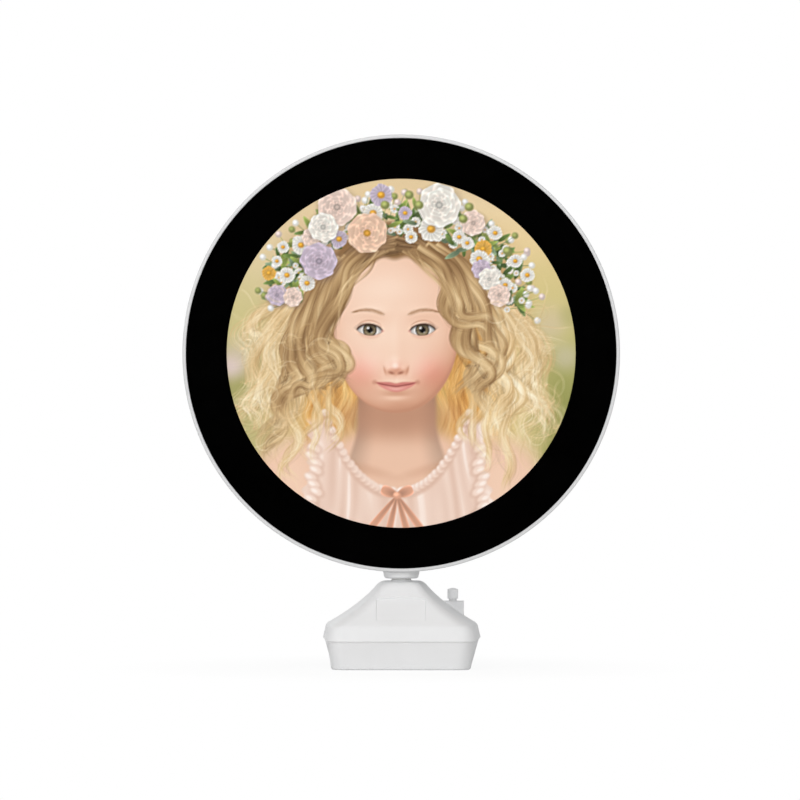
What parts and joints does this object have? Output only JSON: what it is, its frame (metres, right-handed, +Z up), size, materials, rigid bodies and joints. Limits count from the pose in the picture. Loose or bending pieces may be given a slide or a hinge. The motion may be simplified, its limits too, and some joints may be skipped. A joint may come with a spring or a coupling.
{
  "type": "round light-up photo frame",
  "caption": "Round backlit photo frame with a black border and thin white rim, swivelling on a short neck over a moulded battery base with a push switch.",
  "frame": {"origin": "on the table, under the swivel axis, in the middle of the overall box", "axes": "+Z up along the swivel axis, +Y to the back, +X to the right as the picture is seen"},
  "size_m": [0.2184, 0.066, 0.2664],
  "materials": {
    "white_plastic": "white moulded plastic, satin gloss",
    "clear_pane": "clear pane",
    "black_border": "black ring",
    "tape": "foam tape",
    "print": "translucent picture print",
    "opal_panel": "opal light panel",
    "board": "white lamp board",
    "lamp": "lamp with yellow phosphor",
    "connector": "natural nylon socket",
    "steel": "zinc-plated steel",
    "brass": "plain brass",
    "nylon": "natural nylon",
    "lead_jacket": "white lead jacket",
    "cell_jacket": "plain cell jacket",
    "nickel": "nickel-plated contact metal",
    "black_plastic": "black moulded plastic"
  },
  "bodies": {
    "base": {"upper_shell": "white_plastic", "lower_tub": "white_plastic", "battery_cells": "cell_jacket", "contact_plates": "nickel", "contact_springs": "nickel", "case_screws": "steel", "switch_body": "black_plastic", "switch_terminals": "brass", "dc_jack": "black_plastic", "jack_nut": "nickel", "jack_contacts": "brass", "switch_lead": "lead_jacket", "battery_lead": "lead_jacket", "jack_lead": "lead_jacket"},
    "head": {"bezel_ring": "white_plastic", "front_pane": "clear_pane", "border_mask": "black_border", "pane_tape": "tape", "photo_print": "print", "diffuser_panel": "opal_panel", "back_cover": "white_plastic", "cover_screws": "steel", "led_board": "board", "led_chips": "lamp", "board_screws": "steel", "lead_connector": "connector", "lamp_lead": "lead_jacket", "neck_collar": "white_plastic", "swivel_tube": "steel", "upper_nut": "brass", "lower_nut": "brass", "thrust_washer": "nylon", "wave_washer": "steel", "stop_washer": "steel"},
    "switch": {"switch_cap": "white_plastic"},
    "door": {"battery_door": "white_plastic"}
  },
  "joints": [
    {"name": "head_swivel", "type": "hinge", "parent": "base", "child": "head", "pos_m": [0, 0, 0.045], "axis": [0, 0, 1], "range_deg": [-90, 90]},
    {"name": "switch_push", "type": "slide", "parent": "base", "child": "switch", "axis": [0, 0, -1], "range_m": [0, 0.002], "stiffness_N_per_m": 600, "springref_m": -0.0008},
    {"name": "door_slide", "type": "slide", "parent": "base", "child": "door", "axis": [0, 1, 0], "range_m": [0, 0.05]}
  ]
}
